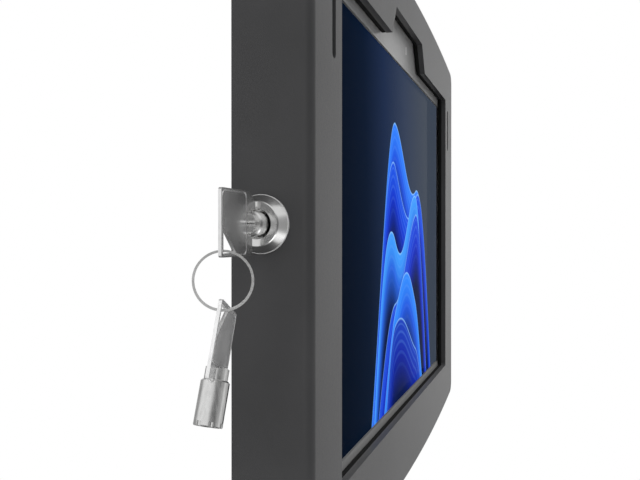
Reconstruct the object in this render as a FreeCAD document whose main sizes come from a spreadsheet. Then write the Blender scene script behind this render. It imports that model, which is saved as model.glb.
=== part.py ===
import FreeCAD, Part
import math
import os
import Sketcher

# Tablet enclosure wall mount.
# X runs to the right seen from the front, Y runs into the wall, Z runs up.
# The origin is the centre of the wall holes, on the wall's surface.

doc = FreeCAD.newDocument("TabletEnclosure")

SIZES = {
    # folded front cover
    "side_room": 24.6,
    "end_room": 17.5,
    "cover_depth": 28.4,
    "cover_bow": 1350.0,
    "cover_corner": 10.0,
    "cover_sheet": 3.0,
    "bend_inside": 0.4,
    "wall_gap": 0.5,
    # window and camera notch
    "window_width": 275.0,
    "window_height": 190.7,
    "window_corner": 1.5,
    "notch_base": 94.2,
    "notch_top": 74.8,
    "notch_rise": 15.3,
    # speaker slots in the cover
    "speaker_pitch": 295.6,
    "speaker_height": 74.5,
    "speaker_length": 29.2,
    "speaker_width": 4.4,
    # cut-out for the ports in the right flange
    "port_middle": 32.5,
    "port_length": 38.0,
    "port_depth": 15.0,
    # back plate
    "plate_sheet": 2.0,
    "plate_gap": 3.5,
    "arm_pitch": 100.0,
    "arm_hole": 4.5,
    "wall_pitch_x": 160.0,
    "wall_pitch_z": 140.0,
    "wall_hole": 5.5,
    "outlet_bore": 44.0,
    # hinge tongues and the slots that they pass through
    "tongue_offset": 75.0,
    "tongue_width": 24.0,
    "tongue_rise": 5.4,
    "tongue_reach": 1.2,
    "slot_play": 2.4,
    # tablet
    "tablet_width": 296.0,
    "tablet_height": 229.0,
    "tablet_depth": 9.3,
    "tablet_corner": 11.0,
    "tablet_drop": 0.7,
    "glass_setback": 5.74,
    "glass_sheet": 0.9,
    "display_width": 275.6,
    "display_height": 183.0,
    "display_sheet": 1.6,
    "camera_height": 11.4,
    "camera_diameter": 4.0,
    "sensor_offset": 16.9,
    "sensor_width": 1.8,
    "sensor_length": 4.5,
    "power_place": 128.0,
    "power_length": 14.0,
    "volume_place": 104.0,
    "volume_length": 22.0,
    "button_width": 2.8,
    "button_height": 0.5,
    "socket_width": 9.0,
    "socket_height": 3.2,
    "socket_depth": 6.5,
    # foam
    "gasket_width": 6.0,
    "foam_play": 0.2,
    "pad_side": 34.0,
    "pad_across": 115.0,
    "pad_up": 84.0,
    # cradles
    "cradle_sheet": 1.5,
    "cradle_length": 180.0,
    "cradle_lip": 3.0,
    "cradle_foot": 9.0,
    "seat_play": 0.3,
    "stop_height": 56.0,
    "stop_width": 20.0,
    "rivet_pitch": 65.0,
    "rivet_shank": 3.2,
    "rivet_head": 6.0,
    "rivet_dome": 1.2,
    # lock
    "lock_setback": 17.67,
    "lock_rise": 1.0,
    "flange_base": 19.65,
    "flange_face": 14.8,
    "flange_rise": 4.3,
    "thread_diameter": 15.8,
    "thread_flats": 13.8,
    "thread_length": 17.0,
    "keyway_bore": 9.4,
    "nut_flats": 19.0,
    "nut_depth": 3.0,
    "cam_sheet": 2.0,
    "cam_reach": 10.7,
    "cam_width": 7.0,
    "fit_play": 0.06,
    "keyway_post": 6.6,
    "tail_square": 5.0,
    "screw_shank": 4.0,
    "screw_head": 8.4,
    "pin_diameter": 0.9,
    "keeper_sheet": 2.0,
    "keeper_engage": 3.1,
    # keys and ring
    "barrel_diameter": 8.5,
    "barrel_bore": 6.9,
    "barrel_length": 13.2,
    "core_length": 7.0,
    "boss_length": 3.6,
    "boss_dip": 0.8,
    "key_out": 5.7,
    "grip_length": 23.0,
    "grip_width": 20.4,
    "grip_sheet": 1.05,
    "rim_width": 1.2,
    "end_rim": 1.4,
    "eye_rise": 7.9,
    "eye_run": 9.1,
    "border_inset": 0.5,
    "border_line": 0.45,
    "ring_radius": 8.65,
    "ring_strip": 0.75,
    "ring_turn": 0.52,
}

# The table of sizes: one row for each name
sheet = doc.addObject("Spreadsheet::Sheet", "Sizes")
for row, (alias, number) in enumerate(SIZES.items(), start=1):
    sheet.set("A%d" % row, alias)
    sheet.set("B%d" % row, "%g" % number)
    sheet.setAlias("B%d" % row, alias)
doc.recompute()


class Dim:
    """A size that carries its number and the formula that binds it to the table."""

    def __init__(self, value, text):
        self.value = float(value)
        self.text = text

    def join(self, other, sign, value):
        return Dim(value, "(%s %s %s)" % (self.text, sign, other.text))

    def __add__(self, other):
        other = dim(other)
        return self.join(other, "+", self.value + other.value)

    def __sub__(self, other):
        other = dim(other)
        return self.join(other, "-", self.value - other.value)

    def __mul__(self, other):
        other = dim(other)
        return self.join(other, "*", self.value * other.value)

    def __truediv__(self, other):
        other = dim(other)
        return self.join(other, "/", self.value / other.value)

    def __neg__(self):
        return Dim(-self.value, "(0 - %s)" % self.text)

    def __rsub__(self, other):
        return dim(other) - self

    __radd__ = __add__
    __rmul__ = __mul__


def dim(number):
    if isinstance(number, Dim):
        return number
    return Dim(number, "%.9g" % number if number >= 0 else "(0 - %.9g)" % -number)


def size(alias):
    return Dim(float(sheet.get(alias)), "Sizes." + alias)


def bind(thing, path, number):
    """Set a property of a feature from a size, and keep it bound."""
    thing.setExpression(path, dim(number).text)


# Places worked out from the sizes, in the part's own frame
wall_face = dim(0)
cover_width = size("tablet_width") + size("side_room") * 2
cover_height = size("tablet_height") + size("end_room") * 2
cover_back = wall_face - size("wall_gap")
cover_front = cover_back - size("cover_depth")
cover_inside = cover_front + size("cover_sheet")
bend_outside = size("bend_inside") + size("cover_sheet")
half_width = cover_width / 2
side_face = -half_width
inner_half_width = half_width - size("cover_sheet")
inner_height = cover_height - size("cover_sheet") * 2
inner_bow = size("cover_bow") - size("cover_sheet")
inner_corner = size("cover_corner") - size("cover_sheet")
plate_front = wall_face - size("plate_sheet")
plate_half_width = inner_half_width - size("plate_gap")
glass_front = cover_front + size("glass_setback")
tablet_back = glass_front + size("tablet_depth")
tablet_bottom = -size("tablet_height") / 2 - size("tablet_drop")
tablet_top = size("tablet_height") / 2 - size("tablet_drop")
lock_y = cover_front + size("lock_setback")
lock_z = size("lock_rise")

PLANES = {"front": "XZ_Plane", "side": "YZ_Plane", "top": "XY_Plane"}
finished = []


def new_body(label):
    body = doc.addObject("PartDesign::Body", label)
    body.Label = label
    finished.append(body)
    return body


def new_sketch(body, label, plane, offset=0):
    """A sketch on one of the body's own planes. Its height is measured along +X, -Y or +Z."""
    sketch = body.newObject("Sketcher::SketchObject", label)
    base = [p for p in body.Origin.OriginFeatures if p.Role == PLANES[plane]][0]
    sketch.AttachmentSupport = [(base, "")]
    sketch.MapMode = "FlatFace"
    bind(sketch, "AttachmentOffset.Base.z", offset)
    return sketch


def pin_point(sketch, index, place, across, up):
    """Hold one point of a sketch at a bound place."""
    for kind, number in (("DistanceX", dim(across)), ("DistanceY", dim(up))):
        rule = sketch.addConstraint(Sketcher.Constraint(kind, -1, 1, index, place, number.value))
        sketch.setExpression("Constraints[%d]" % rule, number.text)


FLATS = 12


def add_facets(sketch, diameter, across=0, up=0):
    """A round outline drawn with flats, for small pieces that repeat out of sight."""
    radius = dim(diameter) / 2
    points = []
    for step in range(FLATS):
        turn = 2 * math.pi * step / FLATS
        points.append((radius * math.cos(turn) + across, radius * math.sin(turn) + up))
    add_polygon(sketch, points)


def bind_radius(sketch, index, radius):
    rule = sketch.addConstraint(Sketcher.Constraint("Radius", index, dim(radius).value))
    sketch.setExpression("Constraints[%d]" % rule, dim(radius).text)


def add_circle(sketch, diameter, across=0, up=0):
    across, up, radius = dim(across), dim(up), dim(diameter) / 2
    centre = FreeCAD.Vector(across.value, up.value, 0)
    index = sketch.addGeometry(Part.Circle(centre, FreeCAD.Vector(0, 0, 1), radius.value))
    bind_radius(sketch, index, radius)
    pin_point(sketch, index, 3, across, up)


def add_polygon(sketch, points):
    """A closed outline of straight runs. Each corner is held at its bound place."""
    points = [(dim(across), dim(up)) for across, up in points]
    flat = [FreeCAD.Vector(across.value, up.value, 0) for across, up in points]
    first = sketch.GeometryCount
    count = len(flat)
    for step in range(count):
        sketch.addGeometry(Part.LineSegment(flat[step], flat[(step + 1) % count]))
    for step in range(count):
        follower = first + (step + 1) % count
        sketch.addConstraint(Sketcher.Constraint("Coincident", first + step, 2, follower, 1))
    for step, (across, up) in enumerate(points):
        pin_point(sketch, first + step, 1, across, up)


def add_box(sketch, low_across, high_across, low_up, high_up):
    corners = [(low_across, low_up), (high_across, low_up), (high_across, high_up), (low_across, high_up)]
    add_polygon(sketch, corners)


def add_slot(sketch, length, width, across, up):
    """An upright slot with round ends."""
    across, up, length, width = dim(across), dim(up), dim(length), dim(width)
    radius = width / 2
    reach = (length - width) / 2
    first = sketch.GeometryCount
    normal = FreeCAD.Vector(0, 0, 1)
    for sign in (1, -1):
        centre = FreeCAD.Vector(across.value, up.value + sign * reach.value, 0)
        circle = Part.Circle(centre, normal, radius.value)
        start = 0 if sign > 0 else math.pi
        sketch.addGeometry(Part.ArcOfCircle(circle, start, start + math.pi))
    for sign in (1, -1):
        x = across.value + sign * radius.value
        low = FreeCAD.Vector(x, up.value - reach.value, 0)
        high = FreeCAD.Vector(x, up.value + reach.value, 0)
        sketch.addGeometry(Part.LineSegment(low, high))
    for line, arc, arc_end, line_end in ((2, 0, 1, 2), (2, 1, 2, 1), (3, 0, 2, 2), (3, 1, 1, 1)):
        rule = Sketcher.Constraint("Tangent", first + arc, arc_end, first + line, line_end)
        sketch.addConstraint(rule)
    bind_radius(sketch, first, radius)
    pin_point(sketch, first, 3, across, up + reach)
    pin_point(sketch, first + 1, 3, across, up - reach)


def add_bowed_outline(sketch, width, height, bow, corner):
    """A rectangle whose top and bottom are long arcs, with round corners."""
    width, height, bow, corner = dim(width), dim(height), dim(bow), dim(corner)
    half = width / 2
    crown = height / 2 - bow
    inset = half.value - corner.value
    lift = crown.value + math.sqrt((bow.value - corner.value) ** 2 - inset ** 2)
    lean = math.atan2(lift - crown.value, inset)
    normal = FreeCAD.Vector(0, 0, 1)
    turns = math.pi / 2
    first = sketch.GeometryCount

    def arc(across, up, radius, start, end):
        circle = Part.Circle(FreeCAD.Vector(across, up, 0), normal, radius)
        sketch.addGeometry(Part.ArcOfCircle(circle, start, end))

    def upright(across, start, end):
        low, high = FreeCAD.Vector(across, start, 0), FreeCAD.Vector(across, end, 0)
        sketch.addGeometry(Part.LineSegment(low, high))

    upright(half.value, -lift, lift)
    arc(inset, lift, corner.value, 0, lean)
    arc(0, crown.value, bow.value, lean, math.pi - lean)
    arc(-inset, lift, corner.value, math.pi - lean, math.pi)
    upright(-half.value, lift, -lift)
    arc(-inset, -lift, corner.value, math.pi, math.pi + lean)
    arc(0, -crown.value, bow.value, math.pi + lean, 4 * turns - lean)
    arc(inset, -lift, corner.value, 4 * turns - lean, 4 * turns)
    sides = 8
    for one in range(sides):
        other = (one + 1) % sides
        sketch.addConstraint(Sketcher.Constraint("Tangent", first + one, 2, first + other, 1))
    for index in (1, 3, 5, 7):
        bind_radius(sketch, first + index, corner)
    for index, sign in ((2, 1), (6, -1)):
        bind_radius(sketch, first + index, bow)
        pin_point(sketch, first + index, 3, 0, crown * sign)
    for index, sign in ((0, 1), (4, -1)):
        number = half * sign
        rule = sketch.addConstraint(Sketcher.Constraint("DistanceX", -1, 1, first + index, 1, number.value))
        sketch.setExpression("Constraints[%d]" % rule, number.text)


def pad(body, sketch, length, back=False):
    """Thicken a sketch along its height direction, or the other way."""
    feature = body.newObject("PartDesign::Pad", sketch.Name + "Pad")
    feature.Profile = sketch
    feature.Reversed = back
    bind(feature, "Length", length)
    doc.recompute()
    return feature


def pocket(body, sketch, length=None, ahead=False):
    """Cut a sketch against its height direction, or along it. No length cuts right through."""
    before = body.Shape.Volume
    feature = body.newObject("PartDesign::Pocket", sketch.Name + "Cut")
    feature.Profile = sketch
    feature.Reversed = ahead
    if length is None:
        feature.Type = "ThroughAll"
    else:
        bind(feature, "Length", length)
    doc.recompute()
    assert body.Shape.Volume < before - 1e-6, feature.Name + " cuts nothing"
    return feature


def revolve(body, sketch, axis):
    """Turn a profile about one of the sketch's own axes."""
    feature = body.newObject("PartDesign::Revolution", sketch.Name + "Turn")
    feature.Profile = sketch
    feature.ReferenceAxis = (sketch, [axis])
    feature.Angle = 360.0
    doc.recompute()
    return feature


def edge_names(shape, wanted):
    return ["Edge%d" % (n + 1) for n, edge in enumerate(shape.Edges) if wanted(edge)]


def round_edges(body, radius, wanted, label):
    """Fillet the edges of the body that the test picks."""
    base = body.Tip
    feature = body.newObject("PartDesign::Fillet", label)
    feature.Base = (base, edge_names(base.Shape, wanted))
    bind(feature, "Radius", radius)
    doc.recompute()
    return feature


def chamfer_edges(body, reach, wanted, label):
    base = body.Tip
    feature = body.newObject("PartDesign::Chamfer", label)
    feature.Base = (base, edge_names(base.Shape, wanted))
    bind(feature, "Size", reach)
    doc.recompute()
    return feature


def at_depth(edge, depth, slack=0.01):
    """True for an edge that lies in one plane parallel to the wall."""
    box = edge.BoundBox
    return abs(box.YMin - depth.value) < slack and abs(box.YMax - depth.value) < slack


def window_outline(sketch, grow=0):
    """The window with the camera notch at its top, grown evenly by a margin."""
    grow = dim(grow)
    half = size("window_width") / 2 + grow
    top = size("window_height") / 2 + grow
    low = -size("window_height") / 2 - grow
    base = size("notch_base") / 2 + grow * 0.75
    crest = size("notch_top") / 2 + grow * 0.75
    peak = size("window_height") / 2 + size("notch_rise") + grow
    points = [(half, low), (half, top), (base, top), (crest, peak)]
    points += [(-crest, peak), (-base, top), (-half, top), (-half, low)]
    add_polygon(sketch, points)


def is_depthwise(edge):
    """True for a straight edge that runs along Y."""
    box = edge.BoundBox
    return box.XLength < 0.01 and box.ZLength < 0.01


# Front cover: a folded sheet, padded as a block, hollowed from behind and then pierced
def front_cover():
    body = new_body("front_cover")
    outline = new_sketch(body, "CoverOutline", "front", -cover_back)
    add_bowed_outline(outline, cover_width, cover_height, size("cover_bow"), size("cover_corner"))
    pad(body, outline, size("cover_depth"))
    round_edges(body, bend_outside, lambda e: at_depth(e, cover_front), "CoverBend")
    hollow = new_sketch(body, "CoverHollow", "front", -cover_back)
    add_bowed_outline(hollow, cover_width - size("cover_sheet") * 2, inner_height, inner_bow, inner_corner)
    pocket(body, hollow, size("cover_depth") - size("cover_sheet"), ahead=True)
    round_edges(body, size("bend_inside"), lambda e: at_depth(e, cover_inside), "CoverInnerBend")

    window = new_sketch(body, "Window", "front", -cover_front)
    window_outline(window)
    pocket(body, window, size("cover_sheet") + 1)
    window_half = size("window_width").value / 2 + 1
    window_peak = size("window_height").value / 2 + size("notch_rise").value + 1

    def window_corner(edge):
        box = edge.BoundBox
        inside = abs(box.XMin) < window_half and abs(box.ZMin) < window_peak
        return is_depthwise(edge) and inside and box.YMin < cover_inside.value - 0.1
    round_edges(body, size("window_corner"), window_corner, "WindowCorners")

    speakers = new_sketch(body, "SpeakerSlots", "front", -cover_front)
    for side in (1, -1):
        across = size("speaker_pitch") / 2 * side
        add_slot(speakers, size("speaker_length"), size("speaker_width"), across, size("speaker_height"))
    pocket(body, speakers, size("cover_sheet") + 1)

    lock_hole = new_sketch(body, "LockHole", "side", side_face)
    add_circle(lock_hole, size("thread_diameter") + size("fit_play") * 4, lock_y, lock_z)
    pocket(body, lock_hole, size("cover_sheet") + 1, ahead=True)

    hinge_slots = new_sketch(body, "HingeSlots", "side", half_width)
    for side in (1, -1):
        middle = size("tongue_offset") * side
        half = size("tongue_width") / 2 + size("seat_play") * 2
        low = hinge_y - size("plate_sheet") / 2 - size("slot_play")
        high = hinge_y + size("plate_sheet") / 2 + size("slot_play")
        add_box(hinge_slots, low, high, middle - half, middle + half)
    pocket(body, hinge_slots, size("cover_sheet") + 1)

    port = new_sketch(body, "PortCut", "side", half_width + 1)
    low, high = size("port_middle") - size("port_length") / 2, size("port_middle") + size("port_length") / 2
    add_box(port, cover_front - 1, cover_front + size("port_depth"), low, high)
    pocket(body, port, bend_outside + 1)
    return body


# The cover's hinge line runs through the slots in its right flange
tongue_front = plate_front - size("tongue_rise")
hinge_y = tongue_front + size("plate_sheet") / 2
relief_end = side_face + size("cover_sheet") + size("thread_length") + size("cam_sheet") + 1.6
relief_half = size("nut_flats") / 2 + 2
shelf_edge_low = tablet_bottom - size("seat_play")
shelf_edge_high = tablet_top + size("seat_play")
rivet_row = size("cradle_foot") - size("rivet_head") / 2 - 0.8
cam_start = size("thread_length") + 0.2
cam_end = cam_start + size("cam_sheet")
keeper_top = lock_z - size("cam_reach") + size("keeper_engage")
keeper_left = side_face + size("thread_length") + 0.3
keeper_right = side_face + cam_end + 2.4


# Back plate: wall plate with its holes, side stops and the tongues that the cover swings on
def back_plate():
    body = new_body("back_plate")
    inset = size("cover_sheet") + size("plate_gap")
    outline = new_sketch(body, "PlateOutline", "front", wall_face)
    add_bowed_outline(outline, cover_width - inset * 2, cover_height - inset * 2,
                      size("cover_bow") - inset, size("cover_corner") - inset + 2)
    pad(body, outline, size("plate_sheet"))

    sheet_front = -plate_front
    holes = new_sketch(body, "PlateHoles", "front", sheet_front)
    for side in (1, -1):
        for level in (1, -1):
            arm = size("arm_pitch") / 2
            add_circle(holes, size("arm_hole"), arm * side, arm * level)
            across, up = size("wall_pitch_x") / 2, size("wall_pitch_z") / 2
            add_circle(holes, size("wall_hole"), across * side, up * level)
    add_circle(holes, size("outlet_bore"))
    for across, up in rivet_places():
        add_facets(holes, size("rivet_shank") + size("fit_play") * 2, across, up)
    pocket(body, holes)

    relief = new_sketch(body, "LockRelief", "front", sheet_front)
    add_box(relief, side_face, relief_end, lock_z - relief_half, lock_z + relief_half)
    pocket(body, relief)

    riser = plate_half_width - 6
    half_tongue = size("tongue_width") / 2
    gaps = new_sketch(body, "TongueGaps", "front", sheet_front)
    for side in (1, -1):
        middle = size("tongue_offset") * side
        add_box(gaps, riser - 1, half_width, middle - half_tongue - 0.5, middle + half_tongue + 0.5)
    pocket(body, gaps)
    tip = half_width + size("tongue_reach")
    for name, side in (("UpperTongue", 1), ("LowerTongue", -1)):
        tongue = new_sketch(body, name, "top", size("tongue_offset") * side - half_tongue)
        root = riser - size("plate_sheet")
        rear = tongue_front + size("plate_sheet")
        add_polygon(tongue, [(root, wall_face), (riser, wall_face), (riser, rear), (tip, rear),
                             (tip, tongue_front), (root, tongue_front)])
        pad(body, tongue, size("tongue_width"))

    near = size("tablet_width") / 2 + size("seat_play")
    far = near + size("plate_sheet")
    low = size("stop_height") - size("stop_width") / 2
    high = size("stop_height") + size("stop_width") / 2
    stops = new_sketch(body, "SideStops", "front", wall_face)
    add_box(stops, near, far, low, high)
    add_box(stops, near, far, -high, -low)
    add_box(stops, -far, -near, low, high)
    add_box(stops, -far, -near, -high, -low)
    pad(body, stops, -glass_front - 2)
    return body


def rivet_places():
    """Centres of the rivets: three in each cradle and two in the keeper."""
    places = []
    for step in (-1, 0, 1):
        places.append((size("rivet_pitch") * step, shelf_edge_low + rivet_row))
        places.append((size("rivet_pitch") * step, shelf_edge_high - rivet_row))
    keeper_middle = (side_face + size("cover_sheet") + 5 + keeper_right) / 2
    foot_top = lock_z - relief_half - size("keeper_sheet")
    for step in (1, 2):
        places.append((keeper_middle, foot_top - size("rivet_head") * 1.15 * step))
    return places


# Cradles: folded channels that carry the tablet's lower and upper edges
def cradle(label, edge, facing, lip):
    """A channel along X. It opens towards the tablet, which lies on the side given by facing."""
    body = new_body(label)
    profile = new_sketch(body, label + "Profile", "side", 0)
    thick = size("cradle_sheet")
    outer = edge - thick * facing
    foot_end = edge + size("cradle_foot") * facing
    front = glass_front - size("seat_play") - thick
    points = [(plate_front, outer), (plate_front, foot_end), (plate_front - thick, foot_end),
              (plate_front - thick, edge)]
    if lip:
        lip_end = tablet_bottom + size("cradle_lip") * facing
        points += [(front + thick, edge), (front + thick, lip_end), (front, lip_end), (front, outer)]
    else:
        points += [(glass_front + 2, edge), (glass_front + 2, outer)]
    add_polygon(profile, points)
    length = pad(body, profile, size("cradle_length"))
    length.Midplane = True
    doc.recompute()
    holes = new_sketch(body, label + "Holes", "front", -plate_front + thick)
    for step in (-1, 0, 1):
        across = size("rivet_pitch") * step
        add_facets(holes, size("rivet_shank") + size("fit_play") * 2, across, edge + rivet_row * facing)
    pocket(body, holes, thick + 0.1)

    def fold(edge_shape):
        box = edge_shape.BoundBox
        corner = abs(box.ZMin - outer.value) < 0.01 and box.YMax > plate_front.value - 0.01
        return box.YLength < 0.01 and box.ZLength < 0.01 and box.XLength > 50 and corner
    round_edges(body, thick, fold, label + "Fold")
    return body


# Keeper: the lip that the cam turns behind, on a foot riveted to the plate
def latch_keeper():
    body = new_body("latch_keeper")
    thick = size("keeper_sheet")
    foot_left = side_face + size("cover_sheet") + 5
    riser_top = lock_z - relief_half - 0.2
    foot_end = riser_top - size("rivet_head") * 3.2
    cam_half = size("cam_width") / 2
    lip_back = lock_y - cam_half - 0.8
    lip_front = lip_back - thick
    foot = new_sketch(body, "KeeperFoot", "side", foot_left)
    add_polygon(foot, [(plate_front, riser_top), (lip_front, riser_top), (lip_front, riser_top - thick),
                       (plate_front - thick, riser_top - thick), (plate_front - thick, foot_end),
                       (plate_front, foot_end)])
    pad(body, foot, keeper_right - foot_left)
    lip = new_sketch(body, "KeeperLip", "side", keeper_left)
    add_box(lip, lip_front, lip_back, riser_top - thick, keeper_top)
    pad(body, lip, keeper_right - keeper_left)
    holes = new_sketch(body, "KeeperHoles", "front", -plate_front + thick)
    for across, up in rivet_places()[-2:]:
        add_facets(holes, size("rivet_shank") + size("fit_play") * 2, across, up)
    pocket(body, holes, thick + 0.1)
    return body


def group(label, members):
    """Several separate solids under one name."""
    compound = doc.addObject("Part::Compound", label)
    compound.Label = label
    compound.Links = members
    finished.append(compound)
    return compound


def turned_part(kind, label, place, lengths):
    """A Part primitive at a bound place."""
    solid = doc.addObject("Part::" + kind, label)
    for path, number in lengths.items():
        bind(solid, path, number)
    for axis, number in zip("xyz", place):
        bind(solid, "Placement.Base." + axis, number)
    return solid


# Rivets: a shank through foot and plate with a low domed head
def cradle_rivets():
    members = []
    along_front = FreeCAD.Rotation(FreeCAD.Vector(1, 0, 0), 90)
    keeper_count = 2
    places = rivet_places()
    for number, (across, up) in enumerate(places):
        held = size("keeper_sheet") if number >= len(places) - keeper_count else size("cradle_sheet")
        seat = plate_front - held
        shank = turned_part("Prism", "RivetShank%d" % number, (across, wall_face - 0.3, up),
                            {"Circumradius": size("rivet_shank") / 2, "Height": -seat - 0.2})
        shank.Polygon = FLATS
        head = turned_part("Cone", "RivetHead%d" % number, (across, seat, up),
                           {"Radius1": size("rivet_head") / 2, "Radius2": size("rivet_head") / 3.4,
                            "Height": size("rivet_dome")})
        for solid in (shank, head):
            base = solid.Placement.Base
            solid.Placement = FreeCAD.Placement(base, along_front)
        for axis, place in zip("xyz", (across, wall_face - 0.3, up)):
            bind(shank, "Placement.Base." + axis, place)
        for axis, place in zip("xyz", (across, seat, up)):
            bind(head, "Placement.Base." + axis, place)
        rivet = doc.addObject("Part::Fuse", "Rivet%d" % number)
        rivet.Base = shank
        rivet.Tool = head
        members.append(rivet)
    return group("cradle_rivets", members)


# Foam pads that press the tablet forward
def rear_pads():
    members = []
    side = size("pad_side")
    for number, (across, up) in enumerate(((1, 1), (-1, 1), (1, -1), (-1, -1))):
        block = doc.addObject("Part::Box", "Pad%d" % number)
        bind(block, "Length", side)
        bind(block, "Height", side)
        bind(block, "Width", plate_front - tablet_back - size("foam_play"))
        bind(block, "Placement.Base.x", size("pad_across") * across - side / 2)
        bind(block, "Placement.Base.y", tablet_back + size("foam_play"))
        bind(block, "Placement.Base.z", size("pad_up") * up - side / 2)
        members.append(block)
    return group("rear_pads", members)


# Rubber edge of the cable outlet
def cable_grommet():
    body = new_body("cable_grommet")
    profile = new_sketch(body, "GrommetProfile", "top", 0)
    bore = size("outlet_bore") / 2 - 2.6
    seat = size("outlet_bore") / 2
    sleeve = seat - 0.1
    brim = seat + 3
    front = plate_front - 2
    add_polygon(profile, [(bore, wall_face - 0.2), (sleeve, wall_face - 0.2), (sleeve, plate_front),
                          (brim, plate_front), (brim, front + 0.7), (brim - 0.7, front), (bore, front)])
    revolve(body, profile, "V_Axis")
    return body


# Foam between the window's edge and the glass
def front_gasket():
    body = new_body("front_gasket")
    outer = new_sketch(body, "GasketOuter", "front", -glass_front + size("foam_play"))
    window_outline(outer, size("gasket_width"))
    thick = glass_front - size("foam_play") - cover_inside
    pad(body, outer, thick)
    inner = new_sketch(body, "GasketInner", "front", -cover_inside)
    window_outline(inner)
    pocket(body, inner, thick + 1)
    return body


def rounded_slab(body, label, width, height, corner, front, thick):
    """A flat slab with round corners, behind its front face."""
    sketch = new_sketch(body, label, "front", -front)
    half, rise = dim(width) / 2, dim(height) / 2
    add_box(sketch, -half, half, -rise - size("tablet_drop"), rise - size("tablet_drop"))
    pad(body, sketch, thick, back=True)
    round_edges(body, corner, is_depthwise, label + "Corners")


# Tablet: tray, display, glass, camera, keys and socket
def tablet_housing():
    body = new_body("tablet_housing")
    seat = glass_front + size("glass_sheet")
    rounded_slab(body, "TabletTray", size("tablet_width"), size("tablet_height"), size("tablet_corner"),
                 seat, size("tablet_depth") - size("glass_sheet"))
    chamfer_edges(body, 2.2, lambda e: at_depth(e, tablet_back), "TabletBack")
    bay = new_sketch(body, "DisplayBay", "front", -seat)
    half, rise = size("display_width") / 2 + 1, size("display_height") / 2 + 1
    add_box(bay, -half, half, -rise - size("tablet_drop"), rise - size("tablet_drop"))
    pocket(body, bay, size("display_sheet") + 0.2)
    camera = new_sketch(body, "CameraWell", "front", -seat)
    add_circle(camera, size("camera_diameter") + 0.2, 0, camera_z)
    add_box(camera, size("sensor_offset") - size("sensor_width") / 2 - 0.1,
            size("sensor_offset") + size("sensor_width") / 2 + 0.1,
            camera_z - size("sensor_length") / 2 - 0.1, camera_z + size("sensor_length") / 2 + 0.1)
    pocket(body, camera, 1.2)
    wells = new_sketch(body, "ButtonWells", "top", tablet_top)
    for key in ("power", "volume"):
        place, length = size(key + "_place"), size(key + "_length")
        half = length / 2 + 0.15
        deep = size("button_width") / 2 + 0.15
        add_box(wells, -place - half, -place + half, tablet_middle - deep, tablet_middle + deep)
    pocket(body, wells, 3.4)
    socket = new_sketch(body, "SocketWell", "side", size("tablet_width") / 2)
    half, rise = size("socket_height") / 2 + 0.7, size("socket_width") / 2 + 0.7
    add_box(socket, tablet_middle - half, tablet_middle + half,
            size("port_middle") - rise, size("port_middle") + rise)
    pocket(body, socket, size("socket_depth") + 1)
    return body


camera_z = size("display_height") / 2 - size("tablet_drop") + size("camera_height")
tablet_middle = glass_front + size("tablet_depth") / 2


def tablet_glass():
    body = new_body("tablet_glass")
    width, height = size("tablet_width") - 1, size("tablet_height") - 1
    rounded_slab(body, "Glass", width, height, size("tablet_corner") - 0.5, glass_front, size("glass_sheet"))
    chamfer_edges(body, 0.25, lambda e: at_depth(e, glass_front), "GlassEdge")
    return body


def display_panel():
    body = new_body("display_panel")
    sketch = new_sketch(body, "Display", "front", -glass_front - size("glass_sheet") - 0.05)
    half, rise = size("display_width") / 2, size("display_height") / 2
    add_box(sketch, -half, half, -rise - size("tablet_drop"), rise - size("tablet_drop"))
    pad(body, sketch, size("display_sheet"), back=True)
    return body


def camera_lens():
    body = new_body("camera_lens")
    seat = glass_front + size("glass_sheet")
    sketch = new_sketch(body, "Lens", "front", -seat - 0.05)
    add_circle(sketch, size("camera_diameter"), 0, camera_z)
    pad(body, sketch, 1, back=True)
    chamfer_edges(body, 0.3, lambda e: at_depth(e, seat + 0.05), "LensEdge")
    return body


def sensor_window():
    body = new_body("sensor_window")
    sketch = new_sketch(body, "Sensor", "front", -glass_front - size("glass_sheet") - 0.05)
    middle, half, rise = size("sensor_offset"), size("sensor_width") / 2, size("sensor_length") / 2
    add_box(sketch, middle - half, middle + half, camera_z - rise, camera_z + rise)
    pad(body, sketch, 1, back=True)
    return body


def edge_button(label, place, length):
    """A key in the tablet's upper edge, which stands a little proud."""
    body = new_body(label)
    sketch = new_sketch(body, label + "Cap", "top", tablet_top + size("button_height"))
    half, deep = length / 2, size("button_width") / 2
    add_box(sketch, -place - half, -place + half, tablet_middle - deep, tablet_middle + deep)
    pad(body, sketch, size("button_height") + 2.8, back=True)

    def upright(edge):
        return edge.BoundBox.XLength < 0.01 and edge.BoundBox.YLength < 0.01
    round_edges(body, 1, upright, label + "Ends")
    return body


def charge_port():
    body = new_body("charge_port")
    half, rise = size("socket_height") / 2, size("socket_width") / 2
    edge, middle = size("tablet_width") / 2, size("port_middle")
    shell = new_sketch(body, "PortShell", "side", edge - 0.3)
    add_box(shell, tablet_middle - half - 0.5, tablet_middle + half + 0.5,
            middle - rise - 0.5, middle + rise + 0.5)
    pad(body, shell, size("socket_depth"), back=True)

    def lengthwise(edge_shape):
        return edge_shape.BoundBox.YLength < 0.01 and edge_shape.BoundBox.ZLength < 0.01
    round_edges(body, 1.8, lengthwise, "PortCorners")
    mouth = new_sketch(body, "PortMouth", "side", edge - 0.3)
    add_box(mouth, tablet_middle - half, tablet_middle + half, middle - rise, middle + rise)
    add_box(mouth, tablet_middle - 0.35, tablet_middle + 0.35, middle - rise + 1.3, middle + rise - 1.3)
    pocket(body, mouth, size("socket_depth") - 1)
    return body


# Lock: every piece is drawn about the lock's axis and then set into the side wall.
# Their own X axis runs outwards, from the wall's outer surface.
OUTWARD = FreeCAD.Rotation(FreeCAD.Vector(0, 0, 1), 180)


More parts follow.
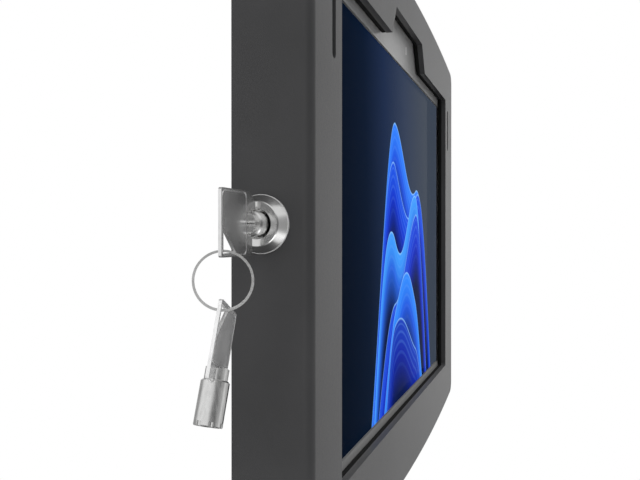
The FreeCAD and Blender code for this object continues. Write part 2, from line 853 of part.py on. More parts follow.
def set_in_lock(thing):
    thing.Placement = FreeCAD.Placement(FreeCAD.Vector(0, 0, 0), OUTWARD)
    for axis, number in zip("xyz", (side_face, lock_y, lock_z)):
        bind(thing, "Placement.Base." + axis, number)


def turned(label, profiles):
    """A piece turned about X from one outline of outward places and radii."""
    body = new_body(label)
    sketch = new_sketch(body, label + "Profile", "front", 0)
    add_polygon(sketch, profiles)
    revolve(body, sketch, "H_Axis")
    return body


def lock_housing():
    base, face, rise = size("flange_base") / 2, size("flange_face") / 2, size("flange_rise")
    bore, thread = size("keyway_bore") / 2, size("thread_diameter") / 2
    end = -size("thread_length")
    shank = [(end, bore), (end, thread - 0.7), (end + 0.7, thread), (0, thread)]
    flange = [(0, base), (0.7, base), (rise - 0.25, face + 0.15), (rise, face - 0.15)]
    body = turned("lock_housing", shank + flange + [(rise, bore + 0.3), (rise - 0.3, bore)])
    flats = new_sketch(body, "ThreadFlats", "side", 0)
    flat, far = size("thread_flats") / 2, thread + 1
    for low, high in ((flat, far), (-far, -flat)):
        add_box(flats, low, high, -far, far)
    pocket(body, flats, size("thread_length") + 1)
    slit = new_sketch(body, "KeySlit", "side", rise)
    add_box(slit, -0.5, 0.5, bore - 0.4, bore + 0.9)
    pocket(body, slit, 2)
    set_in_lock(body)
    return body


keyway_floor = size("flange_rise") + size("key_out") - size("barrel_length") - 0.3


def lock_plug():
    core = size("keyway_bore") / 2 - size("fit_play")
    post = size("keyway_post") / 2
    end = -size("thread_length")
    post_end = barrel_outer_end - size("core_length") - 0.3
    body = turned("lock_plug", [(end, 0), (end, core), (keyway_floor, core), (keyway_floor, post),
                                (post_end - 0.4, post), (post_end, post - 0.4), (post_end, 0)])
    tail = new_sketch(body, "PlugTail", "side", end)
    half = size("tail_square") / 2
    add_box(tail, -half, half, -half, half)
    pad(body, tail, cam_end - size("thread_length"), back=True)
    thread = new_sketch(body, "ScrewBore", "side", -cam_end)
    add_circle(thread, size("screw_shank") + 0.1)
    pocket(body, thread, 9, ahead=True)
    pins = new_sketch(body, "PinBore", "side", keyway_floor)
    add_facets(pins, size("pin_diameter") + 0.2, 0, pin_radius)
    drilled = pocket(body, pins, 5.2)
    ring = body.newObject("PartDesign::PolarPattern", "PinBores")
    ring.Originals = [drilled]
    axis = [p for p in body.Origin.OriginFeatures if p.Role == "X_Axis"][0]
    ring.Axis = (axis, [""])
    ring.Angle = 360
    ring.Occurrences = PIN_COUNT
    body.Tip = ring
    doc.recompute()
    set_in_lock(body)
    return body


PIN_COUNT = 7
pin_radius = (size("keyway_bore") / 2 + size("keyway_post") / 2) / 2


def lock_pins():
    members = []
    lengthwise = FreeCAD.Rotation(FreeCAD.Vector(0, 1, 0), 90)
    for number in range(PIN_COUNT):
        pin = doc.addObject("Part::Prism", "Pin%d" % number)
        pin.Polygon = FLATS
        bind(pin, "Circumradius", size("pin_diameter") / 2)
        bind(pin, "Height", 5)
        turn = math.radians(360.0 / PIN_COUNT * number)
        pin.Placement = FreeCAD.Placement(FreeCAD.Vector(0, 0, 0), lengthwise)
        bind(pin, "Placement.Base.x", side_face - keyway_floor + 0.05)
        bind(pin, "Placement.Base.y", lock_y + pin_radius * math.sin(turn))
        bind(pin, "Placement.Base.z", lock_z + pin_radius * math.cos(turn))
        members.append(pin)
    return group("lock_pins", members)


def lock_nut():
    body = new_body("lock_nut")
    sketch = new_sketch(body, "NutOutline", "side", -size("cover_sheet") - 0.05)
    reach = size("nut_flats") / math.sqrt(3)
    corners = []
    for step in range(6):
        turn = math.radians(60 * step + 90)
        corners.append((reach * math.cos(turn), reach * math.sin(turn)))
    add_polygon(sketch, corners)
    pad(body, sketch, size("nut_depth"), back=True)
    hole = new_sketch(body, "NutBore", "side", -size("cover_sheet") - 0.05)
    add_circle(hole, size("thread_diameter") + size("fit_play") * 2)
    pocket(body, hole, size("nut_depth") + 1)
    set_in_lock(body)
    return body


def lock_cam():
    body = new_body("lock_cam")
    arm = new_sketch(body, "CamArm", "side", -cam_start)
    half = size("cam_width") / 2
    add_box(arm, -size("cam_reach"), 0, -half, half)
    pad(body, arm, size("cam_sheet"), back=True)

    def tip(edge):
        box = edge.BoundBox
        return box.YLength < 0.01 and box.ZLength < 0.01 and box.YMax < -size("cam_reach").value + 0.01
    round_edges(body, half - 0.1, tip, "CamTip")
    hub = new_sketch(body, "CamHub", "side", -cam_start)
    add_circle(hub, size("cam_width") * 1.7)
    pad(body, hub, size("cam_sheet"), back=True)
    eye = new_sketch(body, "CamEye", "side", -cam_start)
    half_eye = size("tail_square") / 2 + 0.05
    add_box(eye, -half_eye, half_eye, -half_eye, half_eye)
    pocket(body, eye, size("cam_sheet") + 1)
    set_in_lock(body)
    return body


def cam_screw():
    shank, head = size("screw_shank") / 2, size("screw_head") / 2
    seat = -cam_end - 0.05
    body = turned("cam_screw", [(seat + 8, 0), (seat + 8, shank - 0.4), (seat + 7.5, shank), (seat, shank),
                                (seat, head), (seat - 1.2, head), (seat - 2.1, head * 0.72), (seat - 2.1, 0)])
    recess = new_sketch(body, "CrossRecess", "side", seat - 2.1)
    arm, half = head * 0.55, head * 0.13
    quarter = [(arm, -half), (arm, half), (half, half)]
    cross = []
    for _ in range(4):
        cross += quarter
        quarter = [(-up, across) for across, up in quarter]
    add_polygon(recess, cross)
    pocket(body, recess, 1.2, ahead=True)
    set_in_lock(body)
    return body


# Keys: a tubular barrel with a crimped boss, and a stamped grip held in the boss
barrel_outer_end = size("flange_rise") + size("key_out")
grip_end = barrel_outer_end + size("grip_length") - 1
boss_radius = size("barrel_bore") / 2 + 0.05


def key_barrel(label):
    tip = barrel_outer_end - size("barrel_length")
    outer, bore = size("barrel_diameter") / 2, size("barrel_bore") / 2
    end = barrel_outer_end
    boss_end = end + size("boss_length")
    body = turned(label, [(tip, bore), (tip, outer - 0.15), (tip + 0.15, outer), (end - 0.5, outer),
                          (end, outer - 0.5), (end, boss_radius), (boss_end, boss_radius), (boss_end, 0),
                          (end - size("core_length"), 0), (end - size("core_length"), bore)])
    flutes = new_sketch(body, label + "Flutes", "side", boss_end)
    for side in (1, -1):
        crest = (boss_radius + 0.3) * side
        add_polygon(flutes, [(boss_radius * 0.8 * side, 0), (crest, 0.9), (crest, -0.9)])
    pocket(body, flutes, size("boss_length"))
    lobes = new_sketch(body, label + "Lobes", "front", outer + 1)
    lobe, dip = boss_radius / 2, size("boss_dip")
    points = [(boss_end + 1, -outer), (boss_end - dip, -outer)]
    for middle in (-lobe, lobe):
        for turn in range(180, -1, -30):
            angle = math.radians(turn)
            points.append((boss_end - dip + dip * math.sin(angle), middle + lobe * math.cos(angle) * 0.998))
    points += [(boss_end - dip, outer), (boss_end + 1, outer)]
    add_polygon(lobes, points)
    pocket(body, lobes)
    slot = new_sketch(body, label + "Slot", "top", outer + 1)
    half = size("grip_sheet") / 2 + 0.03
    add_box(slot, end, boss_end + 1, -half, half)
    pocket(body, slot)
    cut = new_sketch(body, label + "Cut", "side", tip)
    add_circle(cut, 1.5, 0, outer + 0.1)
    first = pocket(body, cut, 1.3, ahead=True)
    ring = body.newObject("PartDesign::PolarPattern", label + "Cuts")
    ring.Originals = [first]
    axis = [p for p in body.Origin.OriginFeatures if p.Role == "X_Axis"][0]
    ring.Axis = (axis, [""])
    ring.Angle = 360
    ring.Occurrences = PIN_COUNT
    body.Tip = ring
    doc.recompute()
    return body


grip_half = size("grip_width") / 2
eye_end = grip_end - size("end_rim")
eye_low = -grip_half + size("rim_width")


def key_grip(label):
    """A stamped plate with a raised border and a three-cornered eye for the ring."""
    body = new_body(label)
    outline = new_sketch(body, label + "Outline", "front", 0)
    start = barrel_outer_end + 0.1
    wing = barrel_outer_end - 1
    shoulder = barrel_outer_end - 3.6
    beside = size("barrel_diameter") / 2 + 0.4
    add_polygon(outline, [(start, -beside), (wing, -beside), (wing, -grip_half), (grip_end, -grip_half),
                          (grip_end, grip_half), (wing + 2.2, grip_half), (shoulder, beside + 2.6),
                          (shoulder, beside), (start, beside)])
    slab = pad(body, outline, size("grip_sheet"))
    slab.Midplane = True
    doc.recompute()

    def corner(edge):
        box = edge.BoundBox
        far = box.XMin > grip_end.value - 0.01
        low = box.ZMax < -grip_half.value + 0.01
        return is_depthwise(edge) and (far or low)
    round_edges(body, 1, corner, label + "Corners")
    eye = new_sketch(body, label + "Eye", "front", size("grip_sheet"))
    add_polygon(eye, [(eye_end, eye_low), (eye_end, eye_low + size("eye_rise")),
                      (eye_end - size("eye_run"), eye_low)])
    pocket(body, eye)
    inset, line = size("border_inset"), size("border_line")
    left, right = barrel_outer_end + 3.6, grip_end - inset
    rise = grip_half - inset
    for side, name in ((1, "Front"), (-1, "Rear")):
        border = new_sketch(body, label + name, "front", size("grip_sheet") / 2 * side)
        add_polygon(border, soft_corners(left, right, -rise, rise, 1.5))
        add_polygon(border, soft_corners(left + line, right - line, -rise + line, rise - line, 1.5))
        pocket(body, border, 0.18, ahead=side < 0)
    return body


def soft_corners(left, right, low, high, reach):
    """Points round a rectangle whose corners are cut by three short runs."""
    points = []
    for across, up, first in ((right, high, 0), (left, high, 90), (left, low, 180), (right, low, 270)):
        inward, upward = (-1 if across is right else 1), (-1 if up is high else 1)
        for turn in (0, 30, 60, 90):
            angle = math.radians(first + turn)
            inside, above = inward + math.cos(angle), upward + math.sin(angle)
            points.append((across + reach * inside, up + reach * above))
    return points


def key_one_barrel():
    body = key_barrel("key_one_barrel")
    set_in_lock(body)
    return body


def key_one_grip():
    body = key_grip("key_one_grip")
    set_in_lock(body)
    return body


# Split ring: a flat strip wound twice, turned towards the viewer's side
RING_YAW = math.radians(24.6)
RING_TURNS = 1.96
RING_LIFT = 1.3
ring_out = grip_end - 2.3
ring_tip = lock_z - grip_half + size("rim_width") / 2
ring_middle = ring_tip + RING_LIFT - size("ring_radius")


def key_ring():
    pitch = size("ring_turn").value
    radius = size("ring_radius").value
    strip = size("ring_strip").value / 2
    thick = pitch / 2 - 0.03
    helix = Part.makeHelix(pitch, pitch * RING_TURNS, radius)
    inner, outer = radius - strip, radius + strip
    corners = [(inner, -thick), (outer, -thick), (outer, thick), (inner, thick)]
    points = [FreeCAD.Vector(across, 0, up) for across, up in corners]
    section = Part.makePolygon(points + points[:1])
    coil = Part.Wire(helix.Edges).makePipeShell([section], True, True)
    coil.translate(FreeCAD.Vector(0, 0, -pitch * RING_TURNS / 2))
    ring = doc.addObject("Part::Feature", "key_ring")
    ring.Label = "key_ring"
    ring.Shape = coil
    upright = FreeCAD.Rotation(FreeCAD.Vector(0, 1, 0), 90)
    turn = FreeCAD.Rotation(FreeCAD.Vector(0, 0, 1), math.degrees(RING_YAW))
    lead = FreeCAD.Rotation(FreeCAD.Vector(1, 0, 0), 90)
    centre = FreeCAD.Vector((side_face - ring_out).value, lock_y.value, ring_middle.value)
    ring.Placement = FreeCAD.Placement(centre, turn * lead * upright)
    finished.append(ring)
    return ring


# Spare key: it hangs from the ring with its centre of mass under the ring's lowest point
SPARE_YAW = math.radians(9.6)
SPARE_LEAN = math.radians(5.4)
EYE_REST = (1.0, 3.8)


def hang_placement(pieces):
    """Tilt a key in its own plane until it balances on the ring."""
    volume = sum(piece.Shape.Volume for piece in pieces)
    middle = sum((piece.Shape.CenterOfGravity * piece.Shape.Volume for piece in pieces), FreeCAD.Vector())
    middle = middle / volume
    hold = FreeCAD.Vector(eye_end.value - EYE_REST[0], 0, eye_low.value + EYE_REST[1])
    along = FreeCAD.Vector(math.cos(SPARE_YAW), math.sin(SPARE_YAW), 0)
    up = FreeCAD.Vector(0, 0, 1)
    swing = FreeCAD.Vector(math.cos(RING_YAW), math.sin(RING_YAW), 0)
    normal = along.cross(up)
    skew = -normal.dot(swing) / along.dot(swing) * math.sin(SPARE_LEAN)
    tilt = math.atan2(middle.z - hold.z, hold.x - middle.x) + math.atan(skew)
    stand = FreeCAD.Rotation(up, normal, along, "XYZ")
    lean = FreeCAD.Rotation(along, math.degrees(SPARE_LEAN))
    turn = FreeCAD.Rotation(normal, -math.degrees(tilt))
    rotation = lean * turn * stand
    bottom = ring_middle - size("ring_radius")
    lowest = FreeCAD.Vector((side_face - ring_out).value, lock_y.value, bottom.value)
    return FreeCAD.Placement(lowest - rotation.multVec(hold), rotation)


def key_two():
    barrel = key_barrel("key_two_barrel")
    grip = key_grip("key_two_grip")
    place = hang_placement([barrel, grip])
    for piece in (barrel, grip):
        piece.Placement = place


front_cover()
back_plate()
cradle("lower_cradle", shelf_edge_low, 1, True)
cradle("upper_cradle", shelf_edge_high, -1, False)
latch_keeper()
cradle_rivets()
rear_pads()
cable_grommet()
front_gasket()
tablet_housing()
display_panel()
tablet_glass()
camera_lens()
sensor_window()
edge_button("power_button", size("power_place"), size("power_length"))
edge_button("volume_rocker", size("volume_place"), size("volume_length"))
charge_port()
lock_housing()
lock_plug()
lock_pins()
lock_nut()
lock_cam()
cam_screw()
key_one_barrel()
key_one_grip()
key_ring()
key_two()
doc.recompute()

faults = []
for thing in doc.Objects:
    if "Invalid" in thing.State or "Error" in thing.State:
        faults.append("%s: %s" % (thing.Name, thing.State))
for thing in finished:
    if thing.Shape.isNull() or not thing.Shape.isValid():
        faults.append(thing.Label + " has no valid shape")
if faults:
    raise RuntimeError("; ".join(faults))

os.makedirs("parts", exist_ok=True)
for thing in finished:
    thing.Shape.exportStep(os.path.join("parts", thing.Label + ".step"))
    print(thing.Label, len(thing.Shape.Solids), round(thing.Shape.Volume, 2))
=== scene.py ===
import bpy
import math
from mathutils import Matrix, Vector


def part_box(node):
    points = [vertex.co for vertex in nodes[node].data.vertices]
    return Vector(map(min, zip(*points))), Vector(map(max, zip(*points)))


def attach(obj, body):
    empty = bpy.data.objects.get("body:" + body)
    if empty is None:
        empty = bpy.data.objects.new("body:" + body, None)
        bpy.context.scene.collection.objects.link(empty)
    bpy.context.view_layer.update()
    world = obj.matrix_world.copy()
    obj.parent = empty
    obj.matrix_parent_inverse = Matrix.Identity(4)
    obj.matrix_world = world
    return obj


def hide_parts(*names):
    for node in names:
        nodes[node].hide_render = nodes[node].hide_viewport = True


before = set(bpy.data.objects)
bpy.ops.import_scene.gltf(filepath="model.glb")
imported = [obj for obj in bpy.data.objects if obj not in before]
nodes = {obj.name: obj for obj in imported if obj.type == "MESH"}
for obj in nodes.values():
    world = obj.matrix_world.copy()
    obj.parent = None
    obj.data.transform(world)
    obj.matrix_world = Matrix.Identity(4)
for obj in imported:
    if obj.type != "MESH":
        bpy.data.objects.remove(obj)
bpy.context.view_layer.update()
MM = 0.001

# Places on the tablet's face, in metres
LENS_HEIGHT = 0.1022
LENS_RADIUS = 0.0007
MARK_ACROSS = 0.0169
MARK_HALF_WIDTH = 0.0009
MARK_HALF_HEIGHT = 0.0022
PICTURE_HALF_WIDTH = 0.1377
PICTURE_HALF_HEIGHT = 0.0914
PICTURE_DROP = 0.0007

# The window in the cover, in millimetres
WINDOW_HALF_WIDTH = 137.5
WINDOW_HALF_HEIGHT = 95.35
NOTCH_FOOT = 47.1
NOTCH_SHOULDER = 37.4
NOTCH_HEIGHT = 110.65
NOTCH_SLANT = 0.75
WINDOW_CORNER = 1.5

# The foam behind the tablet, in millimetres
PAD_SIDE = 34
PAD_ACROSS = 115
PAD_UP = 84

# Which way the flat of each key's grip faces
KEY_ONE_FACING = (0.0, 1.0, 0.0)
KEY_TWO_FACING = (-0.166, 0.9816, 0.0941)


# Small helpers for node trees
class Nodes:
    """A node tree under construction, with short ways to add nodes."""

    def __init__(self, tree):
        self.tree = tree
        self.tree.nodes.clear()

    def node(self, kind, **settings):
        made = self.tree.nodes.new("ShaderNode" + kind)
        for key, value in settings.items():
            setattr(made, key, value)
        return made

    def set(self, socket, value):
        if isinstance(value, bpy.types.NodeSocket):
            self.tree.links.new(value, socket)
        else:
            socket.default_value = value

    def math(self, operation, *values):
        made = self.node("Math", operation=operation)
        for socket, value in zip(made.inputs, values):
            self.set(socket, value)
        return made.outputs[0]

    def off(self, value, middle):
        """How far a value is from a middle, to either side."""
        return self.math("ABSOLUTE", self.math("SUBTRACT", value, middle))

    def diagonal(self, one, other):
        squares = self.math("ADD", self.math("POWER", one, 2.0), self.math("POWER", other, 2.0))
        return self.math("SQRT", squares)

    def dot(self, vector, direction):
        made = self.node("VectorMath", operation="DOT_PRODUCT")
        self.set(made.inputs[0], vector)
        self.set(made.inputs[1], direction)
        return made.outputs["Value"]

    def spread(self, value, low, high, out_low, out_high):
        """Go softly from one outcome to another between two values."""
        made = self.node("MapRange", interpolation_type="SMOOTHSTEP")
        for socket, number in zip(made.inputs[:5], (value, low, high, out_low, out_high)):
            self.set(socket, number)
        return made.outputs[0]

    def blend(self, factor, one, other):
        made = self.node("MixShader")
        for socket, value in zip(made.inputs, (factor, one, other)):
            self.set(socket, value)
        return made.outputs[0]


class Shader(Nodes):
    """A material under construction. Its textures lie in the part's own frame."""

    def __init__(self, name):
        self.material = bpy.data.materials.new(name)
        self.material.use_nodes = True
        super().__init__(self.material.node_tree)
        self.output = self.node("OutputMaterial")
        self.place = self.node("TexCoord").outputs["Object"]

    def axes(self):
        made = self.node("SeparateXYZ")
        self.set(made.inputs[0], self.place)
        return made.outputs

    def noise(self, scale, detail=2.0, rough=0.5, stretch=(1.0, 1.0, 1.0)):
        mapping = self.node("Mapping")
        self.set(mapping.inputs["Scale"], stretch)
        self.set(mapping.inputs["Vector"], self.place)
        made = self.node("TexNoise")
        self.set(made.inputs["Vector"], mapping.outputs[0])
        self.set(made.inputs["Scale"], scale)
        self.set(made.inputs["Detail"], detail)
        self.set(made.inputs["Roughness"], rough)
        return made.outputs["Fac"]

    def ramp(self, value, stops):
        made = self.node("ValToRGB")
        self.set(made.inputs[0], value)
        elements = made.color_ramp.elements
        while len(elements) < len(stops):
            elements.new(0.5)
        for element, (position, colour) in zip(elements, stops):
            element.position = position
            element.color = colour
        return made.outputs[0]

    def mix(self, factor, one, other, blend_type="MIX"):
        made = self.node("Mix", data_type="RGBA", blend_type=blend_type)
        self.set(made.inputs[0], factor)
        self.set(made.inputs[6], one)
        self.set(made.inputs[7], other)
        return made.outputs[2]

    def bump(self, height, distance, strength, normal=None):
        made = self.node("Bump")
        self.set(made.inputs["Height"], height)
        self.set(made.inputs["Distance"], distance)
        self.set(made.inputs["Strength"], strength)
        if normal is not None:
            self.set(made.inputs["Normal"], normal)
        return made.outputs[0]

    def principled(self, **sockets):
        """One general surface. Names use underscores for spaces."""
        made = self.node("BsdfPrincipled")
        for key, value in sockets.items():
            self.set(made.inputs[key.replace("_", " ")], value)
        return made.outputs[0]

    def finish(self, shader):
        self.set(self.output.inputs[0], shader)
        return self.material


def grey(value, tint=0.0):
    return (value, value, value * (1.0 + tint), 1.0)


def local_points(node):
    return [corner.co for corner in nodes[node].data.vertices]


# Materials
def powder_coat():
    """Fine-textured paint: small soft grains that catch the light."""
    s = Shader("powder_coat")
    shade = 0.039
    cloud = s.noise(22.0, 3.0)
    colour = s.ramp(cloud, [(0.3, grey(shade * 0.9, 0.03)), (0.7, grey(shade * 1.12, 0.03))])
    grain = s.noise(2600.0, 2.0, 0.6)
    orange = s.noise(520.0, 2.0)
    normal = s.bump(grain, 0.00006, 0.5, s.bump(orange, 0.0001, 0.35))
    rough = s.spread(grain, 0.3, 0.7, 0.30, 0.38)
    return s.finish(s.principled(Base_Color=colour, Roughness=rough, Normal=normal, Specular_IOR_Level=0.18))


def nickel(name, shade, rough, along=(1.0, 1.0, 1.0), stained=0.06, streak=0.0, rim=None):
    """Satin plating with faint drawn lines along one direction and soft stains.

    A rim, given by its middle and radius, gets a pale, less metallic line that is a painted highlight."""
    s = Shader(name)
    lines = s.noise(900.0, 3.0, 0.6, along)
    stain = s.noise(160.0, 3.0)
    colour = s.ramp(stain, [(0.3, grey(shade * (1 - stained), -0.01)), (0.7, grey(shade, -0.005))])
    streaks = s.ramp(lines, [(0.35, grey(0.66)), (0.65, grey(1.0))])
    colour = s.mix(streak, colour, streaks, "MULTIPLY")
    line_polish = s.spread(lines, 0.3, 0.7, rough - 0.05, rough + 0.06)
    polish = s.math("ADD", line_polish, s.spread(stain, 0.3, 0.7, -0.03, 0.03))
    metal = 1.0
    if rim:
        middle, radius = rim
        _, y, z = s.axes()
        far = s.diagonal(s.off(y, middle[1]), s.off(z, middle[2]))
        # A pale, less metallic line at the rim: painted highlight.
        painted_rim_highlight = s.spread(far, radius - 0.35 * MM, radius - 0.15 * MM, 0.0, 1.0)
        colour = s.mix(painted_rim_highlight, colour, grey(0.6))
        metal = s.spread(painted_rim_highlight, 0.0, 1.0, 1.0, 0.35)
    normal = s.bump(lines, 0.00001, 0.35)
    return s.finish(s.principled(Base_Color=colour, Metallic=metal, Roughness=polish, Normal=normal))


def flange_rim():
    """Middle and radius of the lock's flange, which is the widest turned form of its piece."""
    points = local_points("lock_housing")
    middle = [(min(p[i] for p in points) + max(p[i] for p in points)) / 2 for i in range(3)]
    return middle, max(p[1] for p in points) - middle[1]


def stamping_with_painted_light(node, facing, flat, metal):
    """A stamped sheet whose colour is keyed to the way each surface faces: darker on its two faces as painted
    shade, and pale on its edges and in its pressed groove as painted highlight lines.
    """
    s = Shader(node + "_metal")
    # Pale tone for edges and groove: painted highlight lines.
    edge_highlight = 0.85
    groove = 0.09 * MM
    depths = [point.dot(Vector(facing)) for point in local_points(node)]
    middle, half = (min(depths) + max(depths)) / 2, (max(depths) - min(depths)) / 2
    level = s.math("ABSOLUTE", s.dot(s.node("TexCoord").outputs["Normal"], facing))
    raised = s.math("GREATER_THAN", s.off(s.dot(s.place, facing), middle), half - groove)
    face = s.math("MULTIPLY", s.spread(level, 0.55, 0.9, 0.0, 1.0), raised)
    stain = s.spread(s.noise(210.0, 3.0), 0.3, 0.7, 0.92, 1.06)
    shade = s.math("MULTIPLY", s.spread(face, 0.0, 1.0, edge_highlight, flat), stain)
    tone = s.node("CombineColor")
    for socket in tone.inputs:
        s.set(socket, shade)
    rough = s.spread(face, 0.0, 1.0, 0.3, 0.27)
    normal = s.bump(s.noise(1200.0, 2.0), 0.000006, 0.3)
    return s.finish(s.principled(Base_Color=tone.outputs[0], Metallic=metal, Roughness=rough, Normal=normal))


def rubber(name, shade=0.012, rough=0.7, gloss=0.5):
    s = Shader(name)
    cells = s.noise(1500.0, 3.0, 0.65)
    colour = s.ramp(cells, [(0.35, grey(shade * 0.7)), (0.65, grey(shade * 1.3))])
    normal = s.bump(cells, 0.00012, 0.6)
    return s.finish(s.principled(Base_Color=colour, Roughness=rough, Specular_IOR_Level=gloss, Normal=normal))


def anodised(name, shade=0.40):
    s = Shader(name)
    blast = s.noise(3000.0, 2.0)
    colour = s.ramp(s.noise(30.0), [(0.3, grey(shade * 0.96, 0.02)), (0.7, grey(shade, 0.02))])
    rough = s.spread(blast, 0.3, 0.7, 0.34, 0.42)
    normal = s.bump(blast, 0.00002, 0.4)
    return s.finish(s.principled(Base_Color=colour, Metallic=1.0, Roughness=rough, Normal=normal))


# The picture's ground, from left to right, paling towards the right as a painted reflection of the glass
GROUND_WITH_PAINTED_VEIL = [(0.0, (0.0012, 0.0045, 0.013, 1)), (0.16, (0.0026, 0.009, 0.027, 1)),
          (0.36, (0.010, 0.023, 0.066, 1)), (0.64, (0.030, 0.046, 0.090, 1)),
          (0.93, (0.046, 0.060, 0.086, 1))]
# Its waves: crest height, swell and length in millimetres, phase, slope and colour, farthest first
WAVES = ((42.0, 15.0, 104.0, 2.2, -0.10, (0.030, 0.22, 1.0)),
         (26.0, 20.0, 122.0, 3.1, 0.06, (0.012, 0.09, 0.80)),
         (6.0, 18.0, 92.0, 4.4, -0.04, (0.050, 0.34, 1.0)),
         (-16.0, 22.0, 132.0, 5.1, 0.10, (0.012, 0.07, 0.74)),
         (-38.0, 16.0, 104.0, 0.1, -0.06, (0.030, 0.26, 1.0)),
         (-62.0, 14.0, 124.0, 1.4, 0.04, (0.010, 0.05, 0.50)))
HILL_MIDDLE = 22.0
DEEP_BLUE = (0.002, 0.008, 0.05, 1)
PLEAT_BLUE = (0.16, 0.42, 1.0, 1)
CREST_BLUE = (0.30, 0.62, 1.0, 1)
# Share of light that the glass gives back, from a straight look to a flat one
GLASS_SHINE = [(0.0, grey(0.0005)), (0.2, grey(0.0006)), (0.28, grey(0.002)), (0.34, grey(0.006)),
               (0.42, grey(0.02)), (0.6, grey(0.1))]


def lit_picture():
    """Broad overlapping waves of light blue over navy, under a faint shine. The navy pales towards the right
    as a painted reflection of the glass.
    """
    s = Shader("lit_picture")
    x, _, z = s.axes()
    x = s.math("MULTIPLY", x, 1000.0)
    z = s.math("MULTIPLY", z, 1000.0)
    across = s.spread(s.math("ADD", x, s.math("MULTIPLY", z, 0.12)), -140.0, 140.0, 0.0, 1.0)
    # The ground's paling towards the right is a painted reflection.
    colour = s.ramp(across, GROUND_WITH_PAINTED_VEIL)
    aside = s.off(x, HILL_MIDDLE)
    drop = s.spread(aside, 30.0, 120.0, 0.0, 190.0)
    present = s.spread(aside, 74.0, 122.0, 1.0, 0.0)
    for level, swell, length, phase, slope, top in WAVES:
        swing = s.math("SINE", s.math("ADD", s.math("MULTIPLY", x, 2 * math.pi / length), phase))
        base = s.math("ADD", s.math("MULTIPLY", x, slope), level)
        crest = s.math("SUBTRACT", s.math("ADD", s.math("MULTIPLY", swing, swell), base), drop)
        depth = s.math("SUBTRACT", crest, z)
        inside = s.spread(depth, -0.25, 0.25, 0.0, 1.0)
        shaded = (top[0] * 0.4, top[1] * 0.38, top[2] * 0.75, 1)
        shades = [(0.0, (*top, 1)), (0.35, shaded), (1.0, DEEP_BLUE)]
        body = s.ramp(s.spread(depth, 0.0, 46.0, 0.0, 1.0), shades)
        fold = s.math("POWER", s.math("MAXIMUM", depth, 0.0), 0.7)
        pleat = s.spread(s.math("SINE", s.math("MULTIPLY", fold, 3.4)), 0.2, 1.0, 0.0, 0.16)
        body = s.mix(s.math("MULTIPLY", pleat, s.spread(depth, 4.0, 34.0, 1.0, 0.0)), body, PLEAT_BLUE)
        edge = s.math("MULTIPLY", s.spread(depth, 0.0, 1.6, 1.0, 0.0), 0.75)
        body = s.mix(edge, body, CREST_BLUE)
        colour = s.mix(s.math("MULTIPLY", inside, present), colour, body)
    shown = s.spread(s.node("LightPath").outputs["Is Camera Ray"], 0.0, 1.0, 0.25, 1.0)
    lit = s.principled(Base_Color=grey(0.002), Roughness=1.0, Specular_IOR_Level=0.0, Emission_Color=colour,
                       Emission_Strength=shown)
    glint = s.node("Fresnel")
    s.set(glint.inputs["IOR"], 1.5)
    shine = s.node("BsdfGlossy")
    s.set(shine.inputs["Color"], s.ramp(glint.outputs[0], GLASS_SHINE))
    s.set(shine.inputs["Roughness"], s.spread(s.noise(60.0), 0.3, 0.7, 0.03, 0.06))
    both = s.node("AddShader")
    s.set(both.inputs[0], lit)
    s.set(both.inputs[1], shine.outputs[0])
    return s.finish(both.outputs[0])


def cover_glass():
    """Clear over the picture and the lens, backed by grey print with a pale mark round them. The print's
    light grey is partly a painted sheen of the glass seen at a flat angle.
    """
    s = Shader("cover_glass")
    x, _, z = s.axes()
    across = s.math("SUBTRACT", s.math("ABSOLUTE", x), PICTURE_HALF_WIDTH)
    up = s.math("SUBTRACT", s.math("ABSOLUTE", s.math("ADD", z, PICTURE_DROP)), PICTURE_HALF_HEIGHT)
    border = s.math("GREATER_THAN", s.math("MAXIMUM", across, up), 0.0)
    lens = s.math("LESS_THAN", s.diagonal(x, s.math("SUBTRACT", z, LENS_HEIGHT)), LENS_RADIUS)
    printed = s.math("MULTIPLY", border, s.math("SUBTRACT", 1.0, lens))
    mark_x = s.math("LESS_THAN", s.off(x, MARK_ACROSS), MARK_HALF_WIDTH)
    mark_z = s.math("LESS_THAN", s.off(z, LENS_HEIGHT), MARK_HALF_HEIGHT)
    mark = s.math("MULTIPLY", mark_x, mark_z)
    # Print lightened to grey as a painted sheen of the glass at a flat angle.
    ink_with_painted_sheen = s.ramp(s.noise(400.0), [(0.3, grey(0.255)), (0.7, grey(0.285))])
    backed = s.principled(Base_Color=s.mix(mark, ink_with_painted_sheen, grey(0.8)), Roughness=0.3, Specular_IOR_Level=0.5)
    return s.finish(s.blend(printed, s.node("BsdfTransparent").outputs[0], backed))


def lens_black():
    s = Shader("lens_black")
    x, _, z = s.axes()
    far = s.diagonal(x, s.math("SUBTRACT", z, LENS_HEIGHT))
    rings = [(0.0, (0.002, 0.003, 0.012, 1)), (0.45, (0.01, 0.012, 0.03, 1)),
             (0.6, grey(0.002)), (1.0, grey(0.02))]
    colour = s.ramp(s.spread(far, 0.0, 0.002, 0.0, 1.0), rings)
    return s.finish(s.principled(Base_Color=colour, Roughness=0.08, Coat_Weight=1.0))


def sensor_with_painted_glow():
    s = Shader("sensor_with_painted_glow")
    colour = s.ramp(s.noise(700.0), [(0.3, grey(0.55)), (0.7, grey(0.66))])
    # The window glows though it is no lamp: painted light that lifts it out of the shade of its recess.
    return s.finish(s.principled(Base_Color=colour, Roughness=0.3, Emission_Color=grey(0.6),
                                 Emission_Strength=0.6))


def brass():
    s = Shader("brass")
    colour = s.ramp(s.noise(900.0), [(0.3, (0.52, 0.38, 0.16, 1)), (0.7, (0.62, 0.47, 0.22, 1))])
    return s.finish(s.principled(Base_Color=colour, Metallic=1.0, Roughness=0.25))


def wear(material, *names):
    for name in names:
        slots = nodes[name].data.materials
        slots.clear()
        slots.append(material)


